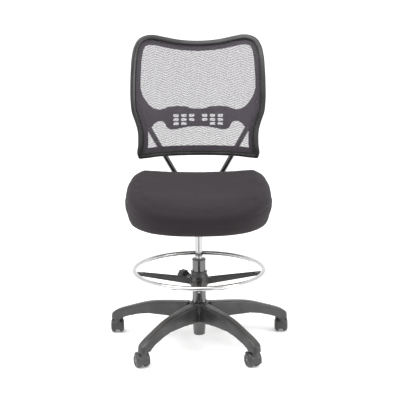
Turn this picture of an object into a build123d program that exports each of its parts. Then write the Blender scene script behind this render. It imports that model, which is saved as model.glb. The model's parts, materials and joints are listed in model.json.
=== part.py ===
"""Drafting chair: five-star base, gas lift, footring, tilting seat and mesh back.

Millimetres. The origin is on the floor under the column, +Z is up, and a sitter faces -Y.
"""

import os
from math import cos, radians, sin

from build123d import *

os.makedirs("parts", exist_ok=True)

# ---- driving dimensions ----
# Base and casters
ARM_COUNT = 5
FIRST_ARM_ANGLE = 18.0
CASTER_CIRCLE_R = 320.0
STEM_HOLE_R = 5.5
BOOT_X = 323.0
BOOT_R = 19.0
BOOT_BOTTOM_Z = 58.0
HUB_TOP_Z = 153.5
HUB_BOTTOM_Z = 82.0
HUB_R = 30.0
ARM_WALL = 4.5
ARM_ROOT_X = 27.0
WHEEL_R = 25.0
CASTER_TRAIL = 18.0
CASTER_WIDTH = 48.0
TRAIL_ANGLES = [90.0, 60.0, 90.0, 115.0, 115.0]
# Column and gas lift
TUBE_R = 25.0
TUBE_WALL = 1.8
TUBE_FOOT_R = 21.0
TUBE_CHAMFER = 1.5
TUBE_BOTTOM_Z = 31.0
TUBE_TOP_Z = 309.0
BUSH_DEPTH = 58.0
CYLINDER_R = 14.0
CYLINDER_WALL = 2.0
CYLINDER_BOTTOM_Z = 82.0
CYLINDER_TOP_Z = 424.0
ROD_R = 5.0
PISTON_Z = 278.0
BUTTON_R = 4.0
RUNNING_GAP = 0.05
SKIN_GAP = 0.3
# Footring
RING_R = 230.0
RING_TUBE_R = 8.25
RING_TUBE_WALL = 1.5
RING_Z = 271.0
KNOB_Z = 235.0
KNOB_ANGLE = 135.0
KNOB_START = 68.0
KNOB_SCREW_R = 4.0
SPOKE_COUNT = 4
SPOKE_WIDTH = 22.0
SPOKE_TIP_R = 233.0
RING_SCREW_R = 2.5
SCREW_SEAT_Z = 259.5
# Seat control
PIVOT_Y = -38.0
PIVOT_Z = 424.0
HOUSING_HALF_WIDTH = 55.0
PIVOT_PIN_R = 6.0
TENSION_BOLT_R = 4.0
HOUSING_BOTTOM_Z = 399.0
SHEET = 3.0
PLATE_Z = 447.0
SPRING_Y = 55.0
LEVER_Z = 431.0
LEVER_PIVOT_X = -53.5
LEVER_PIVOT_R = 3.4
# Seat
BOARD_Z = 450.0
BOARD_THICKNESS = 12.0
BOARD_INSET = 34.0
BOLT_R = 3.1
BOLT_HOLE_R = 3.2
BOLT_HEAD_R = 6.0
BOLT_HEAD_DEPTH = 3.6
PLATE_MIDDLE = (0, 10)
PLATE_BOLT_SPAN = (160, 140)
CLAMP_MIDDLE = (0, 160)
CLAMP_BOLT_SPAN = (142, 34)
SEAT_TOP_Z = 592.0
SEAT_HALF_WIDTH = 255.0
SEAT_FRONT_Y = -262.0
SEAT_REAR_Y = 243.0
# Back bars
BAR_R = 10.0
BAR_WALL = 1.5
BAR_HALF_GAP = 45.0
BAR_Z = 439.4
BAR_BEND_R = 60.0
# Back: its middle surface stands at y = BACK_Y + BACK_LEAN (z - BACK_Z)^2 - BACK_WRAP x^2
BACK_Y = 240.0
BACK_Z = 740.0
BACK_LEAN = 0.0007
BACK_WRAP = 45.0 / 250.0**2
RIM_WIDTH = 18.5
FLANGE_WIDTH = 18.5
SPLINE_WIDTH = 3.2
MESH_THICKNESS = 1.2


def save(part, name):
    """Label a finished piece and write it as a node of that name."""
    part.label = name
    export_step(part, f"parts/{name}.step")


def on_circle(radius, angle, z=0.0, turn=0.0):
    """Place on a circle about the column, turned about the vertical."""
    angle_r = radians(angle)
    return Location((radius * cos(angle_r), radius * sin(angle_r), z), (0, 0, turn))


def outline(points):
    """A symmetric outline from its right half, listed from middle to middle."""
    with BuildSketch() as sketch:
        with BuildLine():
            Spline(*points, tangents=[(1, 0), (-1, 0)])
            mirror(about=Plane.YZ)
        make_face()
    return sketch.sketch


def drawn_in(points, inset):
    """A half outline shrunk towards its middle by about an inset all round."""
    half_width = max(x for x, _ in points)
    middle = (points[0][1] + points[-1][1]) / 2
    half_height = abs(points[-1][1] - points[0][1]) / 2
    return [
        (x * (1 - inset / half_width), middle + (y - middle) * (1 - inset / half_height)) for x, y in points
    ]


# ---- five-star base ----
ARM_TOP = [(0, 153), (75, 148), (152, 142), (192, 136), (231, 125), (275, 110), (318, 93), (342, 74)]
ARM_BOTTOM = [(342, 58), (303, 58), (295, 65), (277, 73), (231, 86.5), (192, 93), (115, 93), (0, 84)]


def arm_body(wall):
    """One arm along +X, drawn in by a wall on its top and sides, with sides that lean in."""
    with BuildPart() as body:
        with BuildSketch(Plane.XZ):
            with BuildLine():
                top = Spline(*[(x, z - wall) for x, z in ARM_TOP])
                Polyline(top @ 1, *ARM_BOTTOM, top @ 0)
            make_face()
        extrude(amount=HUB_R + BOOT_R, both=True)
        with BuildSketch(Plane.XY.offset(BOOT_BOTTOM_Z)):
            with BuildLine():
                tip = CenterArc((BOOT_X, 0), BOOT_R - wall, -90, 180)
                Polyline(tip @ 1, (ARM_ROOT_X, 30 - wall), (ARM_ROOT_X, wall - 30), tip @ 0)
            make_face()
        extrude(amount=100, taper=7, mode=Mode.INTERSECT)
    return body


arm_outer = arm_body(0)
arm_core = arm_body(ARM_WALL)

with BuildPart() as arm_pocket:
    add(arm_core.part)
    with Locations((172, 0, BOOT_BOTTOM_Z)):
        Box(232, 120, 220, mode=Mode.INTERSECT)
    with Locations(*[(x, 0, 100) for x in (105, 155, 205, 250)]):
        Box(SHEET, 120, 120, mode=Mode.SUBTRACT)
    Box(640, SHEET, 400, mode=Mode.SUBTRACT)

with BuildPart() as arm:
    add(arm_outer.part)
    top_edges = arm.faces().sort_by(Axis.Z)[-1].edges().filter_by_position(
        Axis.X, 20, 345, inclusive=(False, True)
    )
    fillet(top_edges.filter_by(lambda e: e.length > 100), radius=6)
    add(arm_pocket.part, mode=Mode.SUBTRACT)

with BuildPart() as base_star:
    with PolarLocations(0, ARM_COUNT, start_angle=FIRST_ARM_ANGLE):
        add(arm.part)
    with BuildSketch(Plane.XZ):
        with BuildLine():
            Polyline((0, HUB_BOTTOM_Z), (HUB_R, HUB_BOTTOM_Z), (HUB_R + 6, 96), (HUB_R + 4, 149),
                     (HUB_R - 1, HUB_TOP_Z), (0, HUB_TOP_Z), close=True)
        make_face()
    revolve(axis=Axis.Z)
    with BuildSketch(Plane.XY):
        Circle(TUBE_R + RUNNING_GAP)
    extrude(amount=200, mode=Mode.SUBTRACT)
    with BuildSketch(Plane.XY.offset(BOOT_BOTTOM_Z - 1)):
        with PolarLocations(CASTER_CIRCLE_R, ARM_COUNT, start_angle=FIRST_ARM_ANGLE):
            Circle(STEM_HOLE_R)
    extrude(amount=28, mode=Mode.SUBTRACT)
save(base_star.part, "base_star")

# ---- casters ----
STEM_R = 5.45
AXLE_R = 3.0
HOOD_TOP_Z = 56.5
HOOD_INNER_R = 26.2
HOOD_OUTER_R = 29.2
WEB_HALF = 7.3
WHEEL_INNER = 7.8
WHEEL_OUTER = 23.6

with BuildPart() as hood_shell:
    with BuildSketch():
        with BuildLine():
            inner_run = Line((HOOD_INNER_R, 0), (HOOD_INNER_R, 14))
            inner_roll = ThreePointArc(inner_run @ 1, (24.6, 20.2), (21.5, 23.35))
            lip = Line(inner_roll @ 1, (22.6, 25.2))
            outer_roll = ThreePointArc(lip @ 1, (27.0, 21.2), (HOOD_OUTER_R, 14))
            Polyline(outer_roll @ 1, (HOOD_OUTER_R, 0), inner_run @ 0)
        make_face()
        mirror(about=Plane.XZ)
    revolve(axis=Axis.Y)

with BuildPart() as caster_hood:
    with Locations((CASTER_TRAIL, 0, WHEEL_R)):
        add(hood_shell.part)
    with BuildSketch(Plane.XZ):
        with BuildLine():
            Polyline((CASTER_TRAIL, WHEEL_R), (60, 62), (60, -20), (-30, -20), (-30, 5), close=True)
        make_face()
    extrude(amount=CASTER_WIDTH, both=True, mode=Mode.SUBTRACT)
    with BuildSketch(Plane.XY.offset(HOOD_TOP_Z)):
        Circle(11)
    extrude(amount=-14)
    with BuildSketch(Plane.XZ):
        with Locations((CASTER_TRAIL, WHEEL_R)):
            Circle(HOOD_INNER_R)
    extrude(amount=CASTER_WIDTH, both=True, mode=Mode.SUBTRACT)
    with BuildSketch(Plane.XZ):
        with BuildLine():
            Polyline((-7.5, 30), (-7.5, 50), (20, 52), (30, 44), (30, 22), (22, 15), (12, 15), close=True)
        make_face()
    extrude(amount=WEB_HALF, both=True)
    with BuildSketch(Plane.XY.offset(HOOD_TOP_Z)):
        Circle(STEM_R)
    extrude(amount=-24, mode=Mode.SUBTRACT)
    with BuildSketch(Plane.XZ):
        with Locations((CASTER_TRAIL, WHEEL_R)):
            Circle(AXLE_R)
    extrude(amount=WEB_HALF, both=True, mode=Mode.SUBTRACT)

with BuildPart() as caster_stem:
    with BuildSketch(Plane.XY.offset(HOOD_TOP_Z - 24)):
        Circle(STEM_R)
    extrude(amount=84 - HOOD_TOP_Z + 24)
    with BuildSketch(Plane.XY.offset(HOOD_TOP_Z)):
        Circle(9)
    extrude(amount=1.3)
    chamfer(caster_stem.edges().sort_by(Axis.Z)[-1], length=1.5)

with BuildPart() as caster_axle:
    with BuildSketch(Plane.XZ):
        with Locations((CASTER_TRAIL, WHEEL_R)):
            Circle(AXLE_R)
    extrude(amount=WHEEL_OUTER - 1.5, both=True)

with BuildPart() as caster_wheel:
    with BuildSketch(Plane.XZ):
        with BuildLine():
            outer_face = Polyline((AXLE_R + RUNNING_GAP, WHEEL_OUTER - 1), (9, WHEEL_OUTER - 1),
                                  (10, WHEEL_OUTER - 2.5), (14, WHEEL_OUTER - 2.5), (17.5, WHEEL_OUTER))
            shoulder = ThreePointArc(outer_face @ 1, (22.9, WHEEL_OUTER - 3.0), (WHEEL_R, 14))
            tread = Line(shoulder @ 1, (WHEEL_R, WHEEL_INNER + 3))
            edge = ThreePointArc(tread @ 1, (24.1, WHEEL_INNER + 0.9), (22, WHEEL_INNER))
            Polyline(edge @ 1, (20.5, WHEEL_INNER), (20.5, 18), (8, 18), (8, WHEEL_INNER),
                     (AXLE_R + RUNNING_GAP, WHEEL_INNER), outer_face @ 0)
        make_face()
    revolve(axis=Axis.Z)

for index in range(ARM_COUNT):
    number = index + 1
    arm_angle = FIRST_ARM_ANGLE + index * 360 / ARM_COUNT
    place = on_circle(CASTER_CIRCLE_R, arm_angle, turn=TRAIL_ANGLES[index])
    for shape, name in ((caster_hood, "caster_hood"), (caster_stem, "caster_stem"),
                        (caster_axle, "caster_axle")):
        with BuildPart() as placed:
            with Locations(place):
                add(shape.part)
        save(placed.part, f"{name}_{number}")
    for side, tip in (("left", -90), ("right", 90)):
        with BuildPart() as placed_wheel:
            with Locations(place * Location((CASTER_TRAIL, 0, WHEEL_R), (tip, 0, 0))):
                add(caster_wheel.part)
        save(placed_wheel.part, f"caster_wheel_{number}_{side}")

# ---- column ----
TUBE_FLOOR_Z = TUBE_BOTTOM_Z + 4
with BuildPart() as column_tube:
    with BuildSketch(Plane.XZ):
        with BuildLine():
            Polyline((ROD_R + 1, TUBE_BOTTOM_Z), (TUBE_FOOT_R - TUBE_CHAMFER, TUBE_BOTTOM_Z),
                     (TUBE_FOOT_R, TUBE_BOTTOM_Z + TUBE_CHAMFER), (TUBE_R, HUB_BOTTOM_Z),
                     (TUBE_R, TUBE_TOP_Z),
                     (TUBE_R - TUBE_WALL, TUBE_TOP_Z), (TUBE_R - TUBE_WALL, HUB_BOTTOM_Z),
                     (TUBE_FOOT_R - TUBE_WALL, TUBE_FLOOR_Z), (ROD_R + 1, TUBE_FLOOR_Z), close=True)
        make_face()
    revolve(axis=Axis.Z)
save(column_tube.part, "column_tube")

with BuildPart() as column_bush:
    with BuildSketch(Plane.XY.offset(TUBE_TOP_Z - BUSH_DEPTH)):
        Circle(TUBE_R - TUBE_WALL - RUNNING_GAP)
    extrude(amount=BUSH_DEPTH)
    with BuildSketch(Plane.XY.offset(TUBE_TOP_Z)):
        Circle(TUBE_R)
    extrude(amount=4)
    chamfer(column_bush.edges().group_by(Axis.Z)[-1], length=2)
    with BuildSketch(Plane.XY):
        Circle(CYLINDER_R + RUNNING_GAP)
    extrude(amount=400, mode=Mode.SUBTRACT)
save(column_bush.part, "column_bush")

with BuildPart() as thrust_bearing:
    with BuildSketch(Plane.XY.offset(TUBE_FLOOR_Z)):
        Circle(12)
        Circle(ROD_R + RUNNING_GAP, mode=Mode.SUBTRACT)
    extrude(amount=5)
save(thrust_bearing.part, "thrust_bearing")

with BuildPart() as piston_rod:
    with BuildSketch(Plane.XY.offset(TUBE_BOTTOM_Z - 5)):
        Circle(ROD_R)
    extrude(amount=PISTON_Z - TUBE_BOTTOM_Z + 5)
    with BuildSketch(Plane.XY.offset(PISTON_Z)):
        Circle(ROD_R - 1)
    extrude(amount=14)
    with BuildSketch(Plane.XY.offset(TUBE_BOTTOM_Z + 9.1)):
        Circle(ROD_R + 3)
    extrude(amount=2)
    with BuildSketch(Plane.XY.offset(TUBE_BOTTOM_Z - 2)):
        Circle(ROD_R + 1)
        Circle(ROD_R - 1, mode=Mode.SUBTRACT)
    extrude(amount=1.5, mode=Mode.SUBTRACT)
save(piston_rod.part, "piston_rod")

with BuildPart() as rod_clip:
    with BuildSketch(Plane.XY.offset(TUBE_BOTTOM_Z - 1.9)):
        Circle(ROD_R + 4)
        Circle(ROD_R - 0.95, mode=Mode.SUBTRACT)
        with Locations((0, -10)):
            Rectangle(6, 20, mode=Mode.SUBTRACT)
    extrude(amount=1.3)
save(rod_clip.part, "rod_clip")

with BuildPart() as gas_piston:
    with BuildSketch(Plane.XY.offset(PISTON_Z + 0.1)):
        Circle(CYLINDER_R - CYLINDER_WALL - 0.1)
        Circle(ROD_R - 0.95, mode=Mode.SUBTRACT)
    extrude(amount=10)
save(gas_piston.part, "gas_piston")

with BuildPart() as gas_cylinder:
    with BuildSketch(Plane.XY.offset(CYLINDER_BOTTOM_Z)):
        Circle(CYLINDER_R)
    extrude(amount=CYLINDER_TOP_Z - CYLINDER_BOTTOM_Z)
    chamfer(gas_cylinder.edges().group_by(Axis.Z)[-1], length=1)
    with BuildSketch(Plane.XY.offset(CYLINDER_BOTTOM_Z)):
        Circle(CYLINDER_R - CYLINDER_WALL)
    extrude(amount=CYLINDER_TOP_Z - CYLINDER_BOTTOM_Z - 20, mode=Mode.SUBTRACT)
    with BuildSketch(Plane.XY.offset(CYLINDER_TOP_Z)):
        Circle(BUTTON_R + RUNNING_GAP)
    extrude(amount=-14, mode=Mode.SUBTRACT)
save(gas_cylinder.part, "gas_cylinder")

with BuildPart() as rod_guide:
    with BuildSketch(Plane.XY.offset(CYLINDER_BOTTOM_Z + 1)):
        Circle(CYLINDER_R - CYLINDER_WALL)
        Circle(ROD_R + RUNNING_GAP, mode=Mode.SUBTRACT)
    extrude(amount=18)
save(rod_guide.part, "rod_guide")

with BuildPart() as release_button:
    with BuildSketch(Plane.XY.offset(CYLINDER_TOP_Z + 4.1)):
        Circle(BUTTON_R)
    extrude(amount=-12)
    fillet(release_button.edges().group_by(Axis.Z)[-1], radius=1)
save(release_button.part, "release_button")

# ---- footring ----
with BuildPart() as footring_tube:
    with BuildSketch(Plane.XZ):
        with Locations((RING_R, RING_Z)):
            Circle(RING_TUBE_R)
            Circle(RING_TUBE_R - RING_TUBE_WALL, mode=Mode.SUBTRACT)
    revolve(axis=Axis.Z)
    with BuildSketch(Plane.XY.offset(RING_Z - RING_TUBE_R - 1)):
        with PolarLocations(RING_R, SPOKE_COUNT):
            Circle(RING_SCREW_R)
    extrude(amount=6, mode=Mode.SUBTRACT)
save(footring_tube.part, "footring_tube")

knob_place = on_circle(0, 0, KNOB_Z, KNOB_ANGLE) * Location((0, 0, 0), (0, 90, 0))
with BuildPart() as spoke:
    with BuildSketch(Plane.XZ):
        with BuildLine():
            Polyline((28, 219), (28, 243), (SPOKE_TIP_R, 264), (SPOKE_TIP_R, 261), (SPOKE_TIP_R - 18, 251.5),
                     close=True)
        make_face()
    extrude(amount=SPOKE_WIDTH / 2, both=True)
    with BuildSketch(Plane.XZ):
        with BuildLine():
            Polyline((44, 240), (44, 250), (200, 265), (200, 255.5), close=True)
        make_face()
    extrude(amount=SPOKE_WIDTH / 2 - 3.5, both=True, mode=Mode.SUBTRACT)

with BuildPart() as footring_hub:
    with BuildSketch(Plane.XZ):
        with BuildLine():
            Polyline((0, 212), (29, 212), (33, 216), (33, 228), (31, 232), (31, 246), (33, 250),
                     (30, 254), (28, 262), (30, 266), (30, 268), (0, 268), close=True)
        make_face()
    revolve(axis=Axis.Z)
    with PolarLocations(0, SPOKE_COUNT):
        add(spoke.part)
    with Locations(knob_place):
        Cylinder(11, 50, align=(Align.CENTER, Align.CENTER, Align.MIN))
        Cylinder(KNOB_SCREW_R + RUNNING_GAP, 60, align=(Align.CENTER, Align.CENTER, Align.MIN),
                 mode=Mode.SUBTRACT)
    with BuildSketch(Plane.XY.offset(200)):
        Circle(TUBE_R + RUNNING_GAP)
    extrude(amount=90, mode=Mode.SUBTRACT)
    with BuildSketch(Plane.XZ):
        with Locations((RING_R, RING_Z)):
            Circle(RING_TUBE_R + 0.02)
    revolve(axis=Axis.Z, mode=Mode.SUBTRACT)
    with BuildSketch(Plane.XY.offset(SCREW_SEAT_Z)):
        with PolarLocations(RING_R, SPOKE_COUNT):
            Circle(RING_SCREW_R)
    extrude(amount=12, mode=Mode.SUBTRACT)
    with BuildSketch(Plane.XY.offset(SCREW_SEAT_Z)):
        with PolarLocations(RING_R, SPOKE_COUNT):
            Circle(4.6)
    extrude(amount=-20, mode=Mode.SUBTRACT)
save(footring_hub.part, "footring_hub")

with BuildPart() as footring_screws:
    with BuildSketch(Plane.XY.offset(SCREW_SEAT_Z - 2.7)):
        with PolarLocations(RING_R, SPOKE_COUNT):
            Circle(4.2)
    extrude(amount=2.6)
    with BuildSketch(Plane.XY.offset(SCREW_SEAT_Z - 2.7)):
        with PolarLocations(RING_R, SPOKE_COUNT):
            Circle(RING_SCREW_R - 0.1)
    extrude(amount=8)
save(footring_screws.part, "footring_screws")

with BuildPart() as knob_grip:
    with BuildSketch(Plane.XY.offset(KNOB_START)):
        Circle(17.5)
        with PolarLocations(17, 7):
            Circle(3.6)
    extrude(amount=25)
    fillet(knob_grip.edges().group_by(Axis.Z)[-1], radius=2)
    with BuildSketch(Plane.XY.offset(KNOB_START)):
        Circle(KNOB_SCREW_R)
    extrude(amount=20, mode=Mode.SUBTRACT)
with BuildPart() as footring_knob:
    with Locations(knob_place):
        add(knob_grip.part)
save(footring_knob.part, "footring_knob")

with BuildPart() as footring_knob_screw:
    with Locations(knob_place * Location((0, 0, TUBE_R + SKIN_GAP))):
        Cylinder(KNOB_SCREW_R, KNOB_START + 20 - TUBE_R - SKIN_GAP,
                 align=(Align.CENTER, Align.CENTER, Align.MIN))
save(footring_knob_screw.part, "footring_knob_screw")

# ---- seat control ----
HOUSING_SIDE = [(-84, 421), (-76, 417), (-8, HOUSING_BOTTOM_Z), (70, HOUSING_BOTTOM_Z), (75, 404), (75, 420),
                (8, 436), (-62, 436), (-84, 426)]
HOUSING_HOLLOW = [(-81, 480), (-81, 423), (-75, 420), (-7.5, HOUSING_BOTTOM_Z + SHEET),
                  (69, HOUSING_BOTTOM_Z + SHEET), (72, 405), (72, 480)]
with BuildPart() as control_housing:
    with BuildSketch(Plane.YZ):
        with BuildLine():
            Polyline(*HOUSING_SIDE, close=True)
        make_face()
    extrude(amount=HOUSING_HALF_WIDTH, both=True)
    with BuildSketch(Plane.YZ):
        with BuildLine():
            Polyline(*HOUSING_HOLLOW, close=True)
        make_face()
    extrude(amount=HOUSING_HALF_WIDTH - SHEET, both=True, mode=Mode.SUBTRACT)
    with BuildSketch(Plane.XY.offset(HOUSING_BOTTOM_Z)):
        Circle(20)
    extrude(amount=CYLINDER_TOP_Z - 1 - HOUSING_BOTTOM_Z)
    with BuildSketch(Plane.XY.offset(HOUSING_BOTTOM_Z)):
        Circle(CYLINDER_R)
        with Locations((0, SPRING_Y)):
            Circle(TENSION_BOLT_R + RUNNING_GAP)
    extrude(amount=60, mode=Mode.SUBTRACT)
    with BuildSketch(Plane.YZ):
        with Locations((PIVOT_Y, PIVOT_Z)):
            Circle(PIVOT_PIN_R)
    extrude(amount=HOUSING_HALF_WIDTH, both=True, mode=Mode.SUBTRACT)
    with Locations((-HOUSING_HALF_WIDTH, 0, LEVER_Z + 10)):
        Box(20, 13, 27, mode=Mode.SUBTRACT)
save(control_housing.part, "control_housing")

with BuildPart() as tilt_pin:
    with BuildSketch(Plane.YZ):
        with Locations((PIVOT_Y, PIVOT_Z)):
            Circle(PIVOT_PIN_R)
    extrude(amount=HOUSING_HALF_WIDTH + 9, both=True)
    chamfer(tilt_pin.edges(), length=0.8)
save(tilt_pin.part, "tilt_pin")

with BuildPart() as seat_plate:
    with BuildSketch(Plane.XY.offset(PLATE_Z)):
        with Locations(PLATE_MIDDLE):
            RectangleRounded(200, 190, 14)
    extrude(amount=SHEET)
    with BuildSketch(Plane.YZ.offset(HOUSING_HALF_WIDTH + 2)):
        with BuildLine():
            Polyline((-62, PLATE_Z), (-52, 411), (-24, 411), (-14, PLATE_Z), close=True)
        make_face()
    extrude(amount=SHEET)
    mirror(about=Plane.YZ)
    with BuildSketch(Plane.YZ):
        with Locations((PIVOT_Y, PIVOT_Z)):
            Circle(PIVOT_PIN_R + RUNNING_GAP)
    extrude(amount=100, both=True, mode=Mode.SUBTRACT)
    with BuildSketch(Plane.XY.offset(PLATE_Z)):
        with Locations(PLATE_MIDDLE):
            with GridLocations(*PLATE_BOLT_SPAN, 2, 2):
                Circle(BOLT_HOLE_R)
    extrude(amount=SHEET, mode=Mode.SUBTRACT)
save(seat_plate.part, "seat_plate")

SPRING_BOTTOM_Z = HOUSING_BOTTOM_Z + SHEET + 2.3
SPRING_TOP_Z = PLATE_Z - 0.3
WIRE_R = 1.5
with BuildPart() as tension_spring:
    with BuildLine():
        coil = Helix(pitch=7.0, height=SPRING_TOP_Z - SPRING_BOTTOM_Z - 2 * WIRE_R, radius=9.5,
                     center=(0, SPRING_Y, SPRING_BOTTOM_Z + WIRE_R))
    with BuildSketch(Plane(origin=coil @ 0, z_dir=coil % 0)):
        Circle(WIRE_R)
    sweep(path=coil)
save(tension_spring.part, "tension_spring")

with BuildPart() as tension_bolt:
    with BuildSketch(Plane.XY.offset(HOUSING_BOTTOM_Z - 12)):
        with Locations((0, SPRING_Y)):
            Circle(TENSION_BOLT_R)
    extrude(amount=SHEET + 32)
    with BuildSketch(Plane.XY.offset(HOUSING_BOTTOM_Z + SHEET + 0.1)):
        with Locations((0, SPRING_Y)):
            Circle(13)
    extrude(amount=2)
save(tension_bolt.part, "tension_bolt")

with BuildPart() as tension_knob:
    with BuildSketch(Plane.XY.offset(HOUSING_BOTTOM_Z - 15)):
        with Locations((0, SPRING_Y)):
            Circle(16)
            with PolarLocations(15.5, 8):
                Circle(3.4)
    extrude(amount=14)
    fillet(tension_knob.edges().group_by(Axis.Z)[0], radius=1.5)
    with BuildSketch(Plane.XY.offset(HOUSING_BOTTOM_Z - 12)):
        with Locations((0, SPRING_Y)):
            Circle(TENSION_BOLT_R)
    extrude(amount=20, mode=Mode.SUBTRACT)
save(tension_knob.part, "tension_knob")

with BuildPart() as height_lever:
    with BuildSketch(Plane.XZ):
        with BuildLine():
            Polyline((9, LEVER_Z - 2.6), (9, LEVER_Z + 2.6), (-118, LEVER_Z + 2.6), (-150, 419),
                     (-150, 413.5), (-116, LEVER_Z - 2.6), close=True)
        make_face()
    extrude(amount=5, both=True)
    with BuildSketch(Plane.XZ):
        with Locations((LEVER_PIVOT_X, LEVER_Z)):
            Circle(LEVER_PIVOT_R)
    extrude(amount=6, both=True)
save(height_lever.part, "height_lever")

with BuildPart() as lever_paddle:
    with BuildSketch(Plane.XZ):
        with BuildLine():
            Polyline((-122, 431), (-126, 421), (-158, 406), (-167, 406), (-170, 412), (-166, 418),
                     close=True)
        make_face()
    extrude(amount=14, both=True)
    fillet(lever_paddle.edges().filter_by(Axis.Y), radius=1.8)
    add(height_lever.part, mode=Mode.SUBTRACT)
save(lever_paddle.part, "lever_paddle")

# ---- seat ----
SEAT_HALF_PLAN = [(0, SEAT_FRONT_Y), (110, -248), (190, -203), (240, -125), (SEAT_HALF_WIDTH, -35),
                  (SEAT_HALF_WIDTH - 2, 60), (240, 150), (200, 213), (110, 239), (0, SEAT_REAR_Y)]
SEAT_SECTIONS = [(BOARD_Z, 22), (465, 8), (500, 0), (542, 0), (574, 10), (SEAT_TOP_Z, 38)]

with BuildPart() as seat_board:
    with BuildSketch(Plane.XY.offset(BOARD_Z)):
        add(outline(drawn_in(SEAT_HALF_PLAN, BOARD_INSET)))
        with Locations(PLATE_MIDDLE):
            with GridLocations(*PLATE_BOLT_SPAN, 2, 2):
                Circle(BOLT_HOLE_R, mode=Mode.SUBTRACT)
        with Locations(CLAMP_MIDDLE):
            with GridLocations(*CLAMP_BOLT_SPAN, 2, 2):
                Circle(BOLT_HOLE_R, mode=Mode.SUBTRACT)
    extrude(amount=BOARD_THICKNESS)
save(seat_board.part, "seat_board")

with BuildPart() as seat_cushion:
    for z, inset in SEAT_SECTIONS:
        with BuildSketch(Plane.XY.offset(z)):
            add(outline(drawn_in(SEAT_HALF_PLAN, inset)))
    loft()
    with BuildSketch(Plane.XY.offset(BOARD_Z)):
        add(outline(drawn_in(SEAT_HALF_PLAN, BOARD_INSET - SKIN_GAP)))
    extrude(amount=BOARD_THICKNESS + SKIN_GAP, mode=Mode.SUBTRACT)
save(seat_cushion.part, "seat_cushion")

with BuildPart() as seat_bolts:
    with BuildSketch(Plane.XY.offset(PLATE_Z - BOLT_HEAD_DEPTH)):
        with Locations(PLATE_MIDDLE):
            with GridLocations(*PLATE_BOLT_SPAN, 2, 2):
                RegularPolygon(BOLT_HEAD_R, 6)
    extrude(amount=BOLT_HEAD_DEPTH)
    with BuildSketch(Plane.XY.offset(PLATE_Z)):
        with Locations(PLATE_MIDDLE):
            with GridLocations(*PLATE_BOLT_SPAN, 2, 2):
                Circle(BOLT_R)
    extrude(amount=BOARD_THICKNESS + SHEET)
save(seat_bolts.part, "seat_bolts")

# ---- back bars ----
BAR_END = (198.0, 238.0, 774.0)
BAR_KNEE = (76.0, 277.0, 548.0)
BAR_SCREW_STEPS = (10.0, 32.0)


def back_depth(x, z):
    """How far back the middle surface of the back stands."""
    return BACK_Y + BACK_LEAN * (z - BACK_Z) ** 2 - BACK_WRAP * x**2


def along_y(x, y, z):
    """Place at a point with the working axis along +Y."""
    return Location((x, y, z), (-90, 0, 0))


upper_run = Vector(*BAR_END) - Vector(*BAR_KNEE)
bar_screws = [Vector(*BAR_END) - upper_run.normalized() * step for step in BAR_SCREW_STEPS]
BAR_SCREW_SPOTS = [(sign * p.X, p.Y, p.Z) for p in bar_screws for sign in (-1, 1)]
WING_SCREW_SPOTS = [(sign * x, z) for x, z in ((215.0, 842.0), (208.0, 800.0)) for sign in (-1, 1)]
SCREW_R = 2.5
SCREW_HEAD_R = 4.8
SCREW_HEAD_DEPTH = 2.4

for side, sign in (("left", 1), ("right", -1)):
    with BuildPart() as back_bar:
        with BuildLine():
            route = FilletPolyline(
                (sign * BAR_HALF_GAP, 112, BAR_Z), (sign * BAR_HALF_GAP, 288, BAR_Z),
                (sign * BAR_KNEE[0], *BAR_KNEE[1:]),
                (sign * BAR_END[0], *BAR_END[1:]), radius=BAR_BEND_R)
        with BuildSketch(Plane(origin=route @ 0, z_dir=route % 0)):
            Circle(BAR_R)
            Circle(BAR_R - BAR_WALL, mode=Mode.SUBTRACT)
        sweep(path=route)
        with Locations(*[along_y(*spot) for spot in BAR_SCREW_SPOTS]):
            Cylinder(SCREW_R + 0.1, 60, mode=Mode.SUBTRACT)
    save(back_bar.part, f"back_bar_{side}")

STRAP_TOP_Z = BAR_Z - BAR_R - 0.1
with BuildPart() as bar_clamp:
    with BuildSketch(Plane.XZ.offset(-130)):
        with BuildLine():
            Polyline((0, STRAP_TOP_Z - SHEET), (60, STRAP_TOP_Z - SHEET), (60, BOARD_Z - SHEET),
                     (84, BOARD_Z - SHEET), (84, BOARD_Z), (60 - SHEET, BOARD_Z),
                     (60 - SHEET, STRAP_TOP_Z), (0, STRAP_TOP_Z), close=True)
        make_face()
        mirror(about=Plane.YZ)
    extrude(amount=-60)
    with BuildSketch(Plane.XY.offset(BOARD_Z - SHEET)):
        with Locations(CLAMP_MIDDLE):
            with GridLocations(*CLAMP_BOLT_SPAN, 2, 2):
                Circle(BOLT_HOLE_R)
    extrude(amount=SHEET, mode=Mode.SUBTRACT)
save(bar_clamp.part, "bar_clamp")

with BuildPart() as clamp_bolts:
    with BuildSketch(Plane.XY.offset(BOARD_Z - SHEET - BOLT_HEAD_DEPTH)):
        with Locations(CLAMP_MIDDLE):
            with GridLocations(*CLAMP_BOLT_SPAN, 2, 2):
                RegularPolygon(BOLT_HEAD_R, 6)
    extrude(amount=BOLT_HEAD_DEPTH)
    with BuildSketch(Plane.XY.offset(BOARD_Z - SHEET)):
        with Locations(CLAMP_MIDDLE):
            with GridLocations(*CLAMP_BOLT_SPAN, 2, 2):
                Circle(BOLT_R)
    extrude(amount=BOARD_THICKNESS + SHEET)
save(clamp_bolts.part, "clamp_bolts")

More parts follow.
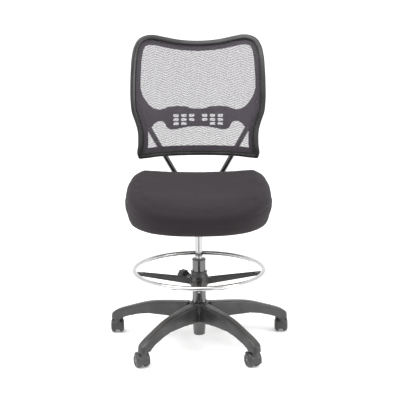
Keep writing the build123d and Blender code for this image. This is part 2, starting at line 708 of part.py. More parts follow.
# ---- back ----
BACK_HALF_OUTLINE = [(0, 642), (80, 641.5), (150, 639.5), (200, 635.5), (219, 636), (225, 650), (222, 690),
                     (223.5, 745), (232, 777), (242, 808), (246.5, 850), (247, 900), (245, 960), (241, 1010),
                     (233, 1044), (216, 1070), (190, 1081.5), (165, 1083), (130, 1076.5), (75, 1065.5),
                     (0, 1060)]
LUMBAR_HALF_OUTLINE = [(0, 750), (37, 748), (75, 741), (100, 739), (115, 747), (125, 765), (140, 771),
                       (158, 765), (178, 741), (194, 732), (205, 742), (210, 775), (219, 812), (222, 850),
                       (220, 884), (212, 892), (205, 875), (198, 859), (187, 842), (170, 824), (145, 814),
                       (110, 822), (75, 825), (37, 821), (0, 815)]


def back_surface(shift):
    """The curved middle surface of the back, moved along Y by a shift."""
    rows = [
        [Vector(x, back_depth(x, z) + shift, z) for z in range(600, 1121, 40)]
        for x in range(-280, 281, 40)
    ]
    return Face.make_surface_from_array_of_points(rows)


def back_layer(face, near, far):
    """A front view cut from a curved slab that lies between two shifts of the middle surface."""
    with BuildPart() as layer:
        with BuildSketch(Plane.XZ):
            add(face)
        extrude(amount=-500)
        extrude(back_surface(near), amount=far - near, dir=(0, 1, 0), mode=Mode.INTERSECT)
    return layer.part


def back_ring(outer_inset, inner_inset):
    """The ring between two insets of the back's outline."""
    with BuildSketch() as ring:
        add(outline(drawn_in(BACK_HALF_OUTLINE, outer_inset)))
        add(outline(drawn_in(BACK_HALF_OUTLINE, inner_inset)), mode=Mode.SUBTRACT)
    return ring.sketch


with BuildPart() as back_frame:
    add(back_layer(back_ring(0, RIM_WIDTH + FLANGE_WIDTH), -11, 9))
    add(back_layer(back_ring(RIM_WIDTH, RIM_WIDTH + FLANGE_WIDTH + 5), -14, 4), mode=Mode.SUBTRACT)
    with Locations(*[along_y(x, back_depth(x, z) + 6.5, z) for x, z in WING_SCREW_SPOTS]):
        Cylinder(SCREW_R + 0.05, 8, mode=Mode.SUBTRACT)
save(back_frame.part, "back_frame")

with BuildPart() as mesh_spline:
    add(back_layer(back_ring(RIM_WIDTH + 0.1, RIM_WIDTH + SPLINE_WIDTH), -2, 3.9))
save(mesh_spline.part, "mesh_spline")

with BuildPart() as back_mesh:
    mesh_outline = outline(drawn_in(BACK_HALF_OUTLINE, RIM_WIDTH + SPLINE_WIDTH + 0.1))
    add(back_layer(mesh_outline, -MESH_THICKNESS / 2, MESH_THICKNESS / 2))
save(back_mesh.part, "back_mesh")

with BuildSketch() as lumbar_face:
    add(outline(LUMBAR_HALF_OUTLINE))
    for row, columns in ((790, (24, 53, 82)), (775, (24, 53, 82)), (760, (53, 82))):
        with Locations(*[(side * x, row) for x in columns for side in (-1, 1)]):
            RectangleRounded(19.5, 10.2, 1.5, mode=Mode.SUBTRACT)
with BuildPart() as lumbar_support:
    add(back_layer(lumbar_face.sketch, 9.1, 13.4))
    with Locations(*[along_y(*spot) for spot in BAR_SCREW_SPOTS]):
        Cylinder(SCREW_R + 0.05, 60, mode=Mode.SUBTRACT)
    with Locations(*[along_y(x, back_depth(x, z), z) for x, z in WING_SCREW_SPOTS]):
        Cylinder(SCREW_R + 0.05, 60, mode=Mode.SUBTRACT)
save(lumbar_support.part, "lumbar_support")

with BuildPart() as back_screws:
    for x, y, z in BAR_SCREW_SPOTS:
        screw_start = back_depth(x, z) + 10.5
        with Locations(along_y(x, screw_start, z)):
            Cylinder(SCREW_R, y + BAR_R + 1 - screw_start, align=(Align.CENTER, Align.CENTER, Align.MIN))
        with Locations(along_y(x, y + BAR_R + 0.9, z)):
            Cylinder(SCREW_HEAD_R, SCREW_HEAD_DEPTH, align=(Align.CENTER, Align.CENTER, Align.MIN))
    for x, z in WING_SCREW_SPOTS:
        screw_start = back_depth(x, z) + 4.2
        with Locations(along_y(x, screw_start, z)):
            Cylinder(SCREW_R, 12, align=(Align.CENTER, Align.CENTER, Align.MIN))
        with Locations(along_y(x, screw_start + 11, z)):
            Cylinder(SCREW_HEAD_R, SCREW_HEAD_DEPTH, align=(Align.CENTER, Align.CENTER, Align.MIN))
save(back_screws.part, "back_screws")
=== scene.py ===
"""Looks of a drafting chair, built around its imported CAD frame.

Metres. The origin is on the floor under the column, +Z is up, and a sitter faces -Y.
"""
import json
from math import pi, radians, sin

import bpy
import bmesh
import numpy as np
from mathutils import Matrix, Vector


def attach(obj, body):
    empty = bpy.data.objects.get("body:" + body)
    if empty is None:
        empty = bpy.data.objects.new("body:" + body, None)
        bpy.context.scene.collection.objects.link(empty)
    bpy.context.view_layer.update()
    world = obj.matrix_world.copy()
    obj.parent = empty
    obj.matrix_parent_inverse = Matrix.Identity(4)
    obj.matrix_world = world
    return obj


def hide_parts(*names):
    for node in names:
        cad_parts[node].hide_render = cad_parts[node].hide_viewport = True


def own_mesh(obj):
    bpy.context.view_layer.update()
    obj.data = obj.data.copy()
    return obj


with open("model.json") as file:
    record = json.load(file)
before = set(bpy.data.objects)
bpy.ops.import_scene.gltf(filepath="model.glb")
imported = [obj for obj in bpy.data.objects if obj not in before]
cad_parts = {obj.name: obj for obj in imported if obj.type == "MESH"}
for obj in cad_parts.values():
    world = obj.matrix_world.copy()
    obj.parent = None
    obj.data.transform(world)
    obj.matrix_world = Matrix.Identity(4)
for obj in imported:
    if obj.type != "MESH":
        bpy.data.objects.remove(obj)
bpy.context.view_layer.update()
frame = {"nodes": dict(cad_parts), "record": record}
nodes = frame["nodes"]
MM = 0.001


# ---- material building ----
# Noise and cell scales are per metre, and relief depths are in metres.
GRAIN_SCALE = 900.0
CLOUD_SCALE = 18.0
SPECK_SCALE = 260.0
RIPPLE_SCALE = 140.0
RIPPLE_DEPTH = 0.03 * MM
WORN_EDGE = 2.2 * MM
FLAT_DOT = 0.98
SHARP_DOT = 0.80
DUST_SCALE = 60.0
PEEL_SCALE = 420.0
PEEL_DEPTH = 0.02 * MM
TURNING_SCALES = (60.0, 60.0, 2400.0)
TURNING_DEPTH = 0.02 * MM
SMEAR_SCALE = 22.0
SLUB_SCALE = 420.0
SLUB_DEPTH = 0.15 * MM
WEAVE_DEPTH = 0.25 * MM
DRIFT_SCALE = 7.0
PLY_PITCH = 3 * MM
PLY_GRAIN_SCALES = (220.0, 14.0, 60.0)
PLY_GRAIN_DEPTH = 0.3 * MM


class Finish:
    """A Principled material built up node by node in the piece's own coordinates."""

    def __init__(self, name, **sockets):
        self.material = bpy.data.materials.new(name)
        self.material.use_nodes = True
        self.tree = self.material.node_tree
        self.shader = self.tree.nodes["Principled BSDF"]
        for socket, value in sockets.items():
            self.shader.inputs[socket.replace("_", " ")].default_value = value
        self.coords = self.add("TexCoord")
        self.position = self.coords.outputs["Object"]

    def add(self, kind, inputs=None, **settings):
        """A node with its settings, its inputs linked or set."""
        node = self.tree.nodes.new("ShaderNode" + kind)
        for key, value in settings.items():
            setattr(node, key, value)
        for key, value in (inputs or {}).items():
            self.feed(node.inputs[key], value)
        return node

    def feed(self, socket, value):
        if isinstance(value, bpy.types.NodeSocket):
            self.tree.links.new(value, socket)
        else:
            socket.default_value = value

    def math(self, operation, *values):
        node = self.add("Math", dict(enumerate(values)), operation=operation)
        return node.outputs[0]

    def scaled(self, x, y, z):
        """The position stretched along each axis."""
        return self.add("Mapping", {"Vector": self.position, "Scale": (x, y, z)}).outputs[0]

    def noise(self, scale, detail=3.0, vector=None):
        inputs = {"Vector": vector or self.position, "Scale": scale, "Detail": detail}
        return self.add("TexNoise", inputs).outputs["Fac"]

    def cells(self, scale):
        inputs = {"Vector": self.position, "Scale": scale}
        return self.add("TexVoronoi", inputs).outputs["Distance"]

    def blend(self, factor, first, second):
        """A colour between two, by a factor."""
        node = self.add("Mix", data_type="RGBA")
        for socket, value in zip((node.inputs[0], node.inputs[6], node.inputs[7]), (factor, first, second)):
            self.feed(socket, value)
        return node.outputs[2]

    def span(self, value, low, high, new_low, new_high):
        """A value spread from one span to another, clamped."""
        inputs = dict(enumerate((value, low, high, new_low, new_high)))
        return self.add("MapRange", inputs).outputs[0]

    def edges(self, radius):
        """1 on an edge narrower than a radius, 0 on a flat."""
        soft = self.add("Bevel", {"Radius": radius}, samples=4).outputs[0]
        plain = self.add("NewGeometry").outputs["Normal"]
        dot = self.add("VectorMath", {0: soft, 1: plain}, operation="DOT_PRODUCT").outputs["Value"]
        return self.span(dot, FLAT_DOT, SHARP_DOT, 0.0, 1.0)

    def bump(self, *layers):
        """Relief from (height, depth in metres) layers, one over the other."""
        normal = None
        for height, depth in layers:
            inputs = {"Height": height, "Distance": depth, "Strength": 1.0}
            if normal is not None:
                inputs["Normal"] = normal
            normal = self.add("Bump", inputs).outputs[0]
        self.feed(self.shader.inputs["Normal"], normal)

    def set(self, **sockets):
        for socket, value in sockets.items():
            self.feed(self.shader.inputs[socket.replace("_", " ")], value)
        return self


def rgb(red, green, blue):
    """A linear colour from its screen values."""
    parts = [value / 255 for value in (red, green, blue)]
    return tuple(p / 12.92 if p < 0.04 else ((p + 0.055) / 1.055) ** 2.4 for p in parts) + (1.0,)


def moulded(name, dark, light, roughness, grain_depth=0.12 * MM, specular=0.45):
    """Moulded plastic: an eroded grain, cloudy colour, and edges rubbed lighter."""
    finish = Finish(name, Specular_IOR_Level=specular)
    cloud = finish.noise(CLOUD_SCALE)
    speck = finish.noise(SPECK_SCALE, 2.0)
    worn = finish.edges(WORN_EDGE)
    tone = finish.blend(finish.span(cloud, 0.35, 0.7, 0.0, 0.45), dark, light)
    tone = finish.blend(finish.math("MULTIPLY", worn, finish.span(speck, 0.3, 0.7, 0.3, 0.9)), tone, light)
    rough = finish.span(speck, 0.3, 0.7, roughness - 0.05, roughness + 0.07)
    finish.bump((finish.cells(GRAIN_SCALE), grain_depth), (finish.noise(RIPPLE_SCALE), RIPPLE_DEPTH))
    return finish.set(Base_Color=tone, Roughness=rough).material


def painted(name, color, roughness, coat, specular=0.5, index=1.5):
    """Enamelled steel: slight orange peel under a clear gloss, with a film of dust."""
    finish = Finish(name, Coat_Weight=coat, Coat_Roughness=0.05, Specular_IOR_Level=specular, IOR=index)
    dust = finish.noise(DUST_SCALE, 5.0)
    lighter = tuple(c * 1.7 + 0.004 for c in color[:3]) + (1.0,)
    tone = finish.blend(finish.span(dust, 0.45, 0.8, 0.0, 0.6), color, lighter)
    rough = finish.span(dust, 0.3, 0.8, roughness, roughness + 0.14)
    finish.bump((finish.noise(PEEL_SCALE, 1.0), PEEL_DEPTH))
    return finish.set(Base_Color=tone, Roughness=rough).material


def plated(name, color, roughness):
    """Bright metal with faint turning marks and fingered patches."""
    finish = Finish(name, Metallic=1.0)
    marks = finish.noise(1.0, 4.0, finish.scaled(*TURNING_SCALES))
    smear = finish.noise(SMEAR_SCALE, 5.0)
    duller = tuple(c * 0.82 for c in color[:3]) + (1.0,)
    tone = finish.blend(finish.span(smear, 0.4, 0.75, 0.0, 0.5), color, duller)
    rough = finish.math("ADD", finish.span(smear, 0.35, 0.75, roughness, roughness + 0.08),
                        finish.math("MULTIPLY", marks, 0.03))
    finish.bump((marks, TURNING_DEPTH))
    return finish.set(Base_Color=tone, Roughness=rough).material


def woven(finish, pitch):
    """Height of a plain weave, laid on each side that the surface faces."""
    split = finish.add("SeparateXYZ", {"Vector": finish.position}).outputs
    facing = finish.add("SeparateXYZ", {"Vector": finish.coords.outputs["Normal"]}).outputs
    waves = [finish.math("SINE", finish.math("MULTIPLY", axis, 2 * pi / pitch)) for axis in split]
    total, weights = None, None
    for normal, (first, second) in zip(facing, ((1, 2), (0, 2), (0, 1))):
        weight = finish.math("POWER", finish.math("ABSOLUTE", normal), 4.0)
        part = finish.math("MULTIPLY", weight, finish.math("MULTIPLY", waves[first], waves[second]))
        total = part if total is None else finish.math("ADD", total, part)
        weights = weight if weights is None else finish.math("ADD", weights, weight)
    return finish.math("DIVIDE", total, weights)


def cloth(name, dark, light, pitch):
    """Upholstery cloth: a fine plain weave, slubs and soft colour drift under a short sheen."""
    finish = Finish(name, Sheen_Weight=0.15, Sheen_Roughness=0.55, Specular_IOR_Level=0.25)
    finish.shader.inputs["Sheen Tint"].default_value = rgb(150, 145, 150)
    weave = woven(finish, pitch)
    slub = finish.noise(SLUB_SCALE, 4.0)
    drift = finish.noise(DRIFT_SCALE, 3.0)
    fine = finish.span(slub, 0.3, 0.7, 0.0, 0.3)
    level = finish.math("ADD", finish.span(weave, -1.0, 1.0, 0.0, 0.5), fine)
    level = finish.math("ADD", level, finish.span(drift, 0.35, 0.65, 0.0, 0.2))
    tone = finish.blend(level, dark, light)
    rough = finish.span(slub, 0.3, 0.7, 0.78, 0.95)
    finish.bump((weave, WEAVE_DEPTH), (slub, SLUB_DEPTH))
    return finish.set(Base_Color=tone, Roughness=rough).material


CHEVRON_PITCH = 8.8 * MM
CHEVRON_SLOPE = 0.4
CHEVRON_WAVE = 78 * MM
MESH_PITCH = 1.3 * MM
CHEVRON_DEPTH = 0.15
MESH_COVER = 0.45
THREAD_SOFTNESS = 0.02
THREAD_DEPTH = 0.6 * MM
MESH_SLUB_SCALE = 700.0


def open_mesh(name, dark, light):
    """Open knit that shows what lies behind it, its holes wider and narrower in zigzag bands."""
    finish = Finish(name, Sheen_Weight=0.2, Sheen_Roughness=0.5, Roughness=0.75, Specular_IOR_Level=0.3)
    across, _, up = finish.add("SeparateXYZ", {"Vector": finish.position}).outputs
    zigzag = finish.math("PINGPONG", finish.math("ADD", across, 10 * CHEVRON_WAVE), CHEVRON_WAVE / 2)
    band = finish.math("ADD", up, finish.math("MULTIPLY", zigzag, CHEVRON_SLOPE))
    stripe = finish.math("SINE", finish.math("MULTIPLY", band, 2 * pi / CHEVRON_PITCH))
    rows = [finish.math("SINE", finish.math("MULTIPLY", axis, pi / MESH_PITCH)) for axis in (across, up)]
    hole = finish.math("ABSOLUTE", finish.math("MULTIPLY", *rows))
    edge = finish.math("ADD", MESH_COVER, finish.math("MULTIPLY", stripe, CHEVRON_DEPTH))
    thread = finish.math("SUBTRACT", edge, hole)
    alpha = finish.span(thread, -THREAD_SOFTNESS, THREAD_SOFTNESS, 0.0, 1.0)
    slub = finish.noise(MESH_SLUB_SCALE, 3.0)
    tone = finish.blend(finish.span(slub, 0.3, 0.7, 0.0, 1.0), dark, light)
    finish.bump((thread, THREAD_DEPTH))
    return finish.set(Base_Color=tone, Alpha=alpha).material


def plies(name, dark, light):
    """Plywood: long grain on its faces and thin layers of alternating grain at its edges."""
    finish = Finish(name, Roughness=0.6, Specular_IOR_Level=0.3)
    grain = finish.noise(1.0, 6.0, finish.scaled(*PLY_GRAIN_SCALES))
    up = finish.add("SeparateXYZ", {"Vector": finish.position}).outputs[2]
    layers = finish.math("SINE", finish.math("MULTIPLY", up, 2 * pi / PLY_PITCH))
    stripe = finish.span(layers, -1.0, 1.0, 0.0, 0.3)
    level = finish.math("ADD", finish.span(grain, 0.3, 0.7, 0.0, 0.7), stripe)
    finish.bump((grain, PLY_GRAIN_DEPTH))
    return finish.set(Base_Color=finish.blend(level, dark, light)).material


SMOOTH_GRAIN = 0.04 * MM
FINEST_GRAIN = 0.03 * MM
finishes = {
    "nylon_black": moulded("nylon_black", rgb(41, 40, 40), rgb(70, 69, 69), 0.32, specular=0.5),
    "caster_plastic": moulded("caster_plastic", rgb(46, 45, 45), rgb(78, 77, 77), 0.34, specular=0.42),
    "frame_plastic": moulded("frame_plastic", rgb(27, 26, 27), rgb(60, 60, 59), 0.28, SMOOTH_GRAIN,
                             specular=0.36),
    "lumbar_plastic": moulded("lumbar_plastic", rgb(52, 51, 54), rgb(88, 88, 92), 0.34, SMOOTH_GRAIN),
    "bush_plastic": moulded("bush_plastic", rgb(40, 40, 40), rgb(110, 110, 110), 0.3, FINEST_GRAIN),
    "spline_rubber": moulded("spline_rubber", rgb(22, 21, 21), rgb(36, 35, 35), 0.65),
    "gloss_black_steel": painted("gloss_black_steel", rgb(24, 23, 22), 0.12, 1.0, specular=0.7, index=1.58),
    "control_steel": painted("control_steel", rgb(40, 40, 41), 0.34, 0.2, index=1.65),
    "steel": plated("steel", (0.42, 0.42, 0.43, 1.0), 0.28),
    "chrome": plated("chrome", (0.41, 0.41, 0.413, 1.0), 0.05),
    # A brighter copy of the chrome, painted light: it makes the footring's sides look blown out to white.
    "ring_chrome_painted_light": plated("ring_chrome_painted_light", (0.56, 0.56, 0.562, 1.0), 0.05),
    "plywood": plies("plywood", rgb(92, 66, 42), rgb(140, 108, 74)),
    "seat_fabric": cloth("seat_fabric", rgb(18, 14, 17), rgb(35, 29, 33), 1.5 * MM),
    "mesh_fabric": open_mesh("mesh_fabric", rgb(53, 47, 55), rgb(89, 82, 91)),
}


# ---- mesh building ----
def mesh_piece(name, points, faces, slot, body):
    """A mesh object with its finish, riding on its body."""
    mesh = bpy.data.meshes.new(name)
    mesh.from_pydata([tuple(p) for p in points], [], faces)
    mesh.validate()
    builder = bmesh.new()
    builder.from_mesh(mesh)
    bmesh.ops.recalc_face_normals(builder, faces=builder.faces)
    builder.to_mesh(mesh)
    builder.free()
    mesh.polygons.foreach_set("use_smooth", [True] * len(mesh.polygons))
    piece = bpy.data.objects.new(name, mesh)
    bpy.context.scene.collection.objects.link(piece)
    mesh.materials.append(finishes[slot])
    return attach(piece, body)


def swept_faces(rings, count, closed=True):
    """Quads between rings of the same count of points."""
    pairs = [(k, (k + 1) % rings) for k in range(rings if closed else rings - 1)]
    return [
        (a * count + i, a * count + (i + 1) % count, b * count + (i + 1) % count, b * count + i)
        for a, b in pairs
        for i in range(count)
    ]


CURVE_STEPS = 24


def mirrored(half):
    """A closed outline from its right half, listed from middle to middle."""
    return list(half) + [(-x, y) for x, y in half[-2:0:-1]]


def smooth_loop(points, count):
    """A closed curve through points, in a number of even steps."""
    knots = np.array(points, float)
    size = len(knots)
    chord = np.linalg.norm(np.roll(knots, -1, axis=0) - knots, axis=1)
    slopes = np.zeros_like(knots)
    for i in range(size):
        before, after = chord[i - 1], chord[i]
        ahead, behind = (knots[(i + 1) % size] - knots[i]) / after, (knots[i] - knots[i - 1]) / before
        slopes[i] = (ahead * before + behind * after) / (before + after)
    fine = []
    for i in range(size):
        following = (i + 1) % size
        for t in np.arange(0, 1, 1 / CURVE_STEPS):
            h = (2 * t**3 - 3 * t**2 + 1, t**3 - 2 * t**2 + t, 3 * t**2 - 2 * t**3, t**3 - t**2)
            fine.append(h[0] * knots[i] + h[1] * chord[i] * slopes[i]
                        + h[2] * knots[following] + h[3] * chord[i] * slopes[following])
    fine = np.array(fine + fine[:1])
    run = np.concatenate([[0], np.cumsum(np.linalg.norm(np.diff(fine, axis=0), axis=1))])
    stops = np.linspace(0, run[-1], count, endpoint=False)
    return np.stack([np.interp(stops, run, fine[:, axis]) for axis in (0, 1)], axis=1)


def inward(loop):
    """Unit normals that point into a closed anticlockwise or clockwise loop."""
    along = np.roll(loop, -1, axis=0) - np.roll(loop, 1, axis=0)
    along /= np.linalg.norm(along, axis=1)[:, None]
    normal = np.stack([-along[:, 1], along[:, 0]], axis=1)
    middle = loop.mean(axis=0)
    sign = np.sign(((middle - loop) * normal).sum())
    return normal * sign


# ---- back ----
BACK_Y = 240 * MM
BACK_Z = 740 * MM
BACK_LEAN = 0.7
BACK_WRAP = 0.72
BACK_HALF_OUTLINE = [(0, 642), (80, 641.5), (150, 639.5), (200, 635.5), (219, 636), (225, 650), (222, 690),
                     (223.5, 745), (232, 777), (242, 808), (246.5, 850), (247, 900), (245, 960), (241, 1010),
                     (233, 1044), (216, 1070), (190, 1081.5), (165, 1083), (130, 1076.5), (75, 1065.5),
                     (0, 1060)]
BEAD_WIDTH = 18.5
BEAD_SLIMMER = 4.5
BEAD_SLIMMING_POWER = 0.7
FLANGE_INNER = 37.0
CORD_WIDTH = 3.2
BACK_STEPS = 420


def back_point(x, z, shift):
    """A point of the back, a shift behind its curved middle surface."""
    return (x, BACK_Y + BACK_LEAN * (z - BACK_Z) ** 2 - BACK_WRAP * x**2 + shift, z)


back_loop = smooth_loop(mirrored([(x * MM, z * MM) for x, z in BACK_HALF_OUTLINE]), BACK_STEPS)
back_inward = inward(back_loop)


def drawn_inset(inset, normal):
    """An inset in millimetres, with the bead slimmer along the top and bottom than at the sides."""
    bead = BEAD_WIDTH - BEAD_SLIMMER * (1 - abs(normal[0])) ** BEAD_SLIMMING_POWER
    if inset <= BEAD_WIDTH:
        return inset * bead / BEAD_WIDTH
    return bead + (inset - BEAD_WIDTH) * (FLANGE_INNER - bead) / (FLANGE_INNER - BEAD_WIDTH)


def back_swept(name, section, slot):
    """A band round the back, from its section of (inset, shift) points in millimetres."""
    points = []
    for place, normal in zip(back_loop, back_inward):
        for inset, shift in section:
            x, z = place + normal * drawn_inset(inset, normal) * MM
            points.append(back_point(x, z, shift * MM))
    return mesh_piece(name, points, swept_faces(len(back_loop), len(section)), slot, "seat")


def rounded(corners, radius, steps=5):
    """A closed section with its corners rounded by a radius, or by a radius of each."""
    radii = radius if hasattr(radius, "__len__") else [radius] * len(corners)
    section = []
    for i, (corner, r) in enumerate(zip(corners, radii)):
        here, last, following = (np.array(corners[k % len(corners)], float) for k in (i, i - 1, i + 1))
        to_last, to_next = (last - here), (following - here)
        to_last /= np.linalg.norm(to_last)
        to_next /= np.linalg.norm(to_next)
        start, end = here + to_last * r, here + to_next * r
        for t in np.linspace(0, 1, steps):
            section.append(tuple((1 - t) ** 2 * start + 2 * t * (1 - t) * here + t**2 * end))
    return section


RIM_SECTION = rounded(
    [(0, -3), (1.6, -9.6), (9, -11.2), (18.1, -9.8), (18.5, 4), (37, 4), (37, 9), (0.6, 9)],
    [4, 3, 4, 1.6, 0.4, 1.2, 1.2, 3.6])
back_frame = back_swept("frame_rim", RIM_SECTION, "frame_plastic")
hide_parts("back_frame")

CORD_SECTION = rounded([(18.6, -3), (21.8, -3), (21.8, 3.9), (18.6, 3.9)], 1.1)
spline_cord = back_swept("spline_cord", CORD_SECTION, "spline_rubber")
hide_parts("mesh_spline")

MESH_RINGS = 40
mesh_inset = [drawn_inset(BEAD_WIDTH + CORD_WIDTH, normal) * MM for normal in back_inward]
mesh_edge = back_loop + back_inward * np.array(mesh_inset)[:, None]
mesh_middle = mesh_edge.mean(axis=0)
mesh_points = []
for ring in range(MESH_RINGS):
    share = 1 - ring / MESH_RINGS
    for place in mesh_edge:
        x, z = mesh_middle + (place - mesh_middle) * share
        mesh_points.append(back_point(x, z, 0))
mesh_points.append(back_point(*mesh_middle, 0))
mesh_faces = swept_faces(MESH_RINGS, len(mesh_edge), closed=False)
last_ring = (MESH_RINGS - 1) * len(mesh_edge)
mesh_faces += [(last_ring + i, last_ring + (i + 1) % len(mesh_edge), len(mesh_points) - 1)
               for i in range(len(mesh_edge))]
mesh_panel = mesh_piece("mesh_panel", mesh_points, mesh_faces, "mesh_fabric", "seat")
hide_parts("back_mesh")

# ---- seat cushion ----
SEAT_HALF_PLAN = [(0, -262), (110, -248), (190, -203), (240, -125), (255, -35), (253, 60), (240, 150),
                  (200, 213), (110, 239), (0, 243)]
SEAT_MIDDLE = np.array([0.0, -0.01])
SEAT_FRONT_Y = -262 * MM
SEAT_STEPS = 160
TOP_RINGS = 30
FIRST_RING = 0.04
SIDE_RINGS = 10
FIRST_DROP = 0.1
# Height of the top along the middle, extra height at the sides, and how boxy its edge is, all by y.
SPINE = ([-0.26, -0.20, -0.15, -0.05, 0.05, 0.15, 0.24], [0.545, 0.553, 0.560, 0.567, 0.575, 0.585, 0.589])
BOLSTER = ([-0.22, 0.02, 0.16, 0.24], [0.004, 0.025, 0.019, 0.005])
BOLSTER_REACH = 0.20
BOLSTER_POWER = 2.2
BOXINESS = ([-0.26, -0.10, 0.02], [5.5, 13.0, 20.0])
ROLL_POWER = 1 / 2.4
SEAT_BOTTOM_Z = 451 * MM
BOARD_TOP_Z = 462 * MM
SEAM_FRONT_Z = 503 * MM
SEAM_SIDE_Z = 538 * MM
SEAM_RISE_LENGTH = 200 * MM
SEAM_RISE_POWER = 0.8
BOARD_SHARE = 0.874
HOLLOW_RINGS = ((BOARD_SHARE, SEAT_BOTTOM_Z), (BOARD_SHARE, BOARD_TOP_Z), (0.5, BOARD_TOP_Z),
                (0.1, BOARD_TOP_Z))
UNDER_ROLL = 0.12
SEAT_VOXEL = 5 * MM
AIR_PRESSURE = 4.0
SIM_FRAMES = 20
BULGE = 4 * MM
HELD_RISE = 40 * MM
SIM_START_INSET = 2 * MM
SEAM_DEPTH = 1.6 * MM
SEAM_SPREAD = 5.5 * MM
SEAM_INSIDE_RADIUS = 200 * MM
SEAT_RADIUS = 250 * MM


def seat_top(x, y):
    """Height of the seat's top before its edges roll over: a waterfall front and raised sides."""
    sideways = min(1.0, abs(x) / BOLSTER_REACH) ** BOLSTER_POWER
    return np.interp(y, *SPINE) + np.interp(y, *BOLSTER) * sideways


def seam_height(y):
    """Height of the seam round the cushion, low at the front and higher along the sides."""
    share = np.clip((y - SEAT_FRONT_Y) / SEAM_RISE_LENGTH, 0, 1)
    return SEAM_FRONT_Z + (SEAM_SIDE_Z - SEAM_FRONT_Z) * share**SEAM_RISE_POWER


def cushion_mesh(inset):
    """Points and faces of the closed cushion, drawn in by an inset."""
    full_rim = smooth_loop(mirrored([(x * MM, y * MM) for x, y in SEAT_HALF_PLAN]), SEAT_STEPS)
    rim = full_rim + inward(full_rim) * inset
    points = []
    for share in np.sin(np.linspace(FIRST_RING, 1, TOP_RINGS) * pi / 2):
        for place in rim:
            x, y = SEAT_MIDDLE + (place - SEAT_MIDDLE) * share
            lift = (1 - share ** np.interp(place[1], *BOXINESS)) ** ROLL_POWER
            seam = seam_height(place[1])
            points.append((x, y, seam + (seat_top(x, y) - inset - seam) * lift))
    for drop in np.linspace(FIRST_DROP, 1, SIDE_RINGS):
        share = 1 - UNDER_ROLL * (1 - (1 - drop**2) ** 0.5)
        for place, whole in zip(rim, full_rim):
            seam = seam_height(place[1])
            edge = place + (whole - place) * drop
            x, y = SEAT_MIDDLE + (edge - SEAT_MIDDLE) * share
            points.append((x, y, seam + (SEAT_BOTTOM_Z - seam) * drop))
    for share, z in HOLLOW_RINGS:
        for place in full_rim:
            x, y = SEAT_MIDDLE + (place - SEAT_MIDDLE) * share
            points.append((x, y, z))
    faces = swept_faces(len(points) // len(rim), len(rim), closed=False)
    faces.append(tuple(range(len(rim))))
    faces.append(tuple(range(len(points) - len(rim), len(points))))
    return points, faces


def use_modifier(piece, kind, **settings):
    """Add a modifier with its settings."""
    modifier = piece.modifiers.new(kind.title(), kind)
    for key, value in settings.items():
        setattr(modifier, key, value)
    return modifier


def apply_modifiers(piece):
    """Keep the evaluated mesh and drop the modifiers."""
    finish = list(piece.data.materials)
    graph = bpy.context.evaluated_depsgraph_get()
    mesh = bpy.data.meshes.new_from_object(piece.evaluated_get(graph))
    piece.modifiers.clear()
    piece.data = mesh
    mesh.materials.clear()
    for material in finish:
        mesh.materials.append(material)
    mesh.polygons.foreach_set("use_smooth", [True] * len(mesh.polygons))


def mesh_array(piece):
    co = np.zeros(len(piece.data.vertices) * 3)
    piece.data.vertices.foreach_get("co", co)
    return co.reshape(-1, 3)


def put_array(piece, co):
    piece.data.vertices.foreach_set("co", co.ravel())
    piece.data.update()


def inflate(piece, pressure, limit):
    """Swell a closed mesh outward as cloth over air does, up to a limit, and hold it round the board."""
    rest = mesh_array(piece)
    normals = np.array([tuple(vertex.normal) for vertex in piece.data.vertices])
    modifier = piece.modifiers.new("Cloth", "CLOTH")
    settings = modifier.settings
    settings.use_pressure = True
    settings.uniform_pressure_force = pressure
    settings.effector_weights.gravity = 0
    scene = bpy.context.scene
    for frame_number in range(1, SIM_FRAMES + 1):
        scene.frame_set(frame_number)
    apply_modifiers(piece)
    scene.frame_set(1)
    moved = mesh_array(piece) - rest
    moved -= normals * np.minimum(0, (moved * normals).sum(axis=1))[:, None]
    size = np.linalg.norm(moved, axis=1)
    free = np.clip((rest[:, 2] - BOARD_TOP_Z) / HELD_RISE, 0, 1)
    share = np.minimum(1, limit / np.maximum(size, 1e-9)) * free
    put_array(piece, rest + moved * share[:, None])


seat_points, seat_faces = cushion_mesh(SIM_START_INSET)
cushion = mesh_piece("cushion", seat_points, seat_faces, "seat_fabric", "seat")
use_modifier(cushion, "REMESH", mode="VOXEL", voxel_size=SEAT_VOXEL)
apply_modifiers(cushion)
inflate(cushion, AIR_PRESSURE, BULGE)
use_modifier(cushion, "SUBSURF", levels=1, render_levels=1)
apply_modifiers(cushion)
cushion_co = mesh_array(cushion)
seam_gap = cushion_co[:, 2] - seam_height(cushion_co[:, 1])
outside = np.hypot(cushion_co[:, 0], cushion_co[:, 1]) > SEAM_INSIDE_RADIUS
groove = SEAM_DEPTH * np.exp(-(seam_gap / SEAM_SPREAD) ** 2) * outside
cushion_co[:, :2] *= 1 - groove[:, None] / SEAT_RADIUS
put_array(cushion, cushion_co)
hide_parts("seat_cushion")

# ---- moulded pieces with their edges rounded ----
slots = {row["node"]: row["material_slot"] for row in frame["record"]["subparts"]}
# The footring tube takes the brighter copy of the chrome as painted light, and the lumbar its own lighter
# plastic.
finish_of = dict(slots, footring_tube="ring_chrome_painted_light", lumbar_support="lumbar_plastic")


# Each CAD node that is rounded off, with its body, voxel in millimetres and smoothing passes.
MOULDINGS = [("base_star", "base", 2.2, 12), ("footring_hub", "footring", 1.3, 4),
             ("lumbar_support", "seat", 1.3, 3)]
MOULDINGS += [(f"caster_hood_{number}", f"caster_{number}", 0.9, 3) for number in range(1, 6)]


def copied(node, name, body):
    """A piece that starts as a copy of a CAD node and is shown instead of it."""
    piece = bpy.data.objects.new(name, nodes[node].data.copy())
    bpy.context.scene.collection.objects.link(piece)
    piece.data.materials.clear()
    piece.data.materials.append(finishes[finish_of[node]])
    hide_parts(node)
    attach(piece, body)
    return piece


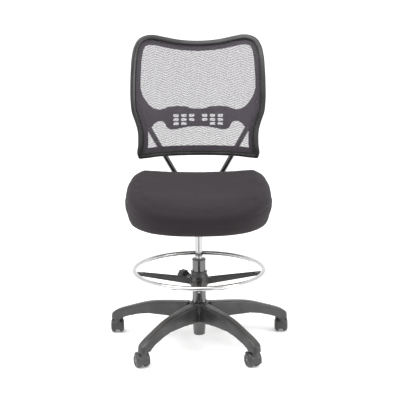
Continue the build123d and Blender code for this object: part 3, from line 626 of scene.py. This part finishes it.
def softened(node, body, voxel, passes):
    """A copy of a CAD node with its edges rounded off, as a moulding has them."""
    piece = copied(node, node + "_moulded", body)
    use_modifier(piece, "REMESH", mode="VOXEL", voxel_size=voxel)
    use_modifier(piece, "SMOOTH", factor=0.5, iterations=passes)
    apply_modifiers(piece)
    return piece


for node, body, voxel, passes in MOULDINGS:
    softened(node, body, voxel * MM, passes)

# A copy of the spring with a mesh of its own; the real spring is pressed together as the seat tips back.
spring = copied("tension_spring", "tension_coil", "lift")
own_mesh(spring)

# ---- finishes of the CAD nodes ----
for name, piece in nodes.items():
    piece.data.materials.clear()
    piece.data.materials.append(finishes[finish_of[name]])

# ---- floor, light and camera ----
FLOOR_HALF = 30.0
FLOOR_GLOW = 0.12
WORLD_STRENGTH = 1.15
CARD_LOW = (-0.28, -3.3)
CARD_HIGH = (0.28, -0.4)
CARD_Z = 10 * MM


def staged_plane(name, low, high, z, tones, noise_scale):
    """A flat rectangle of the stage between two corners, its matt grey clouded between two tones."""
    mesh = bpy.data.meshes.new(name)
    corners = [(low[0], low[1], z), (high[0], low[1], z), (high[0], high[1], z), (low[0], high[1], z)]
    mesh.from_pydata(corners, [], [(0, 1, 2, 3)])
    plane = bpy.data.objects.new(name, mesh)
    bpy.context.scene.collection.objects.link(plane)
    finish = Finish(name, Roughness=0.9, Specular_IOR_Level=0.1)
    tone = finish.blend(finish.noise(noise_scale), *[(grey, grey, grey, 1.0) for grey in tones])
    finish.set(Base_Color=tone, Emission_Color=tone)
    mesh.materials.append(finish.material)
    return plane, finish


floor_finish = staged_plane("floor", (-FLOOR_HALF, -FLOOR_HALF), (FLOOR_HALF, FLOOR_HALF), 0,
                            (0.96, 0.975), 2.0)[1]
floor_finish.shader.inputs["Emission Strength"].default_value = FLOOR_GLOW

# A dark card lies in front of the chair, out of the picture, for the dark lines in the bright metal.
card, card_finish = staged_plane("card", CARD_LOW, CARD_HIGH, CARD_Z, (0.05, 0.08), 3.0)
card_finish.shader.inputs["Emission Strength"].default_value = 0
card.visible_camera = False
card.visible_diffuse = False
card.visible_shadow = False

world = bpy.data.worlds.new("studio")
bpy.context.scene.world = world
world.use_nodes = True
backdrop = world.node_tree.nodes["Background"]
backdrop.inputs["Color"].default_value = (1.0, 1.0, 1.0, 1.0)
backdrop.inputs["Strength"].default_value = WORLD_STRENGTH


def soft_light(name, place, aim, size, power):
    """A square softbox aimed at a point."""
    lamp = bpy.data.lights.new(name, "AREA")
    lamp.size = size
    lamp.energy = power
    light = bpy.data.objects.new(name, lamp)
    bpy.context.scene.collection.objects.link(light)
    light.location = place
    light.rotation_euler = (Vector(aim) - Vector(place)).to_track_quat("-Z", "Y").to_euler()


soft_light("key_light", (-0.9, -1.0, 3.3), (0, 0, 0.5), 3.2, 120)
soft_light("fill_light", (2.6, -1.6, 2.0), (0, 0, 0.6), 1.4, 45)

CAMERA_PLACE = (0.005, -3.584, 1.315)
CAMERA_PITCH = 77.57
CAMERA_ROLL = -0.33
CAMERA_LENS = 93.94
eye = bpy.data.cameras.new("camera")
eye.lens = CAMERA_LENS
camera = bpy.data.objects.new("camera", eye)
bpy.context.scene.collection.objects.link(camera)
camera.matrix_world = (Matrix.Translation(CAMERA_PLACE) @ Matrix.Rotation(radians(CAMERA_PITCH), 4, "X")
                       @ Matrix.Rotation(radians(CAMERA_ROLL), 4, "Z"))
bpy.context.scene.camera = camera
bpy.context.scene.view_settings.view_transform = "Standard"
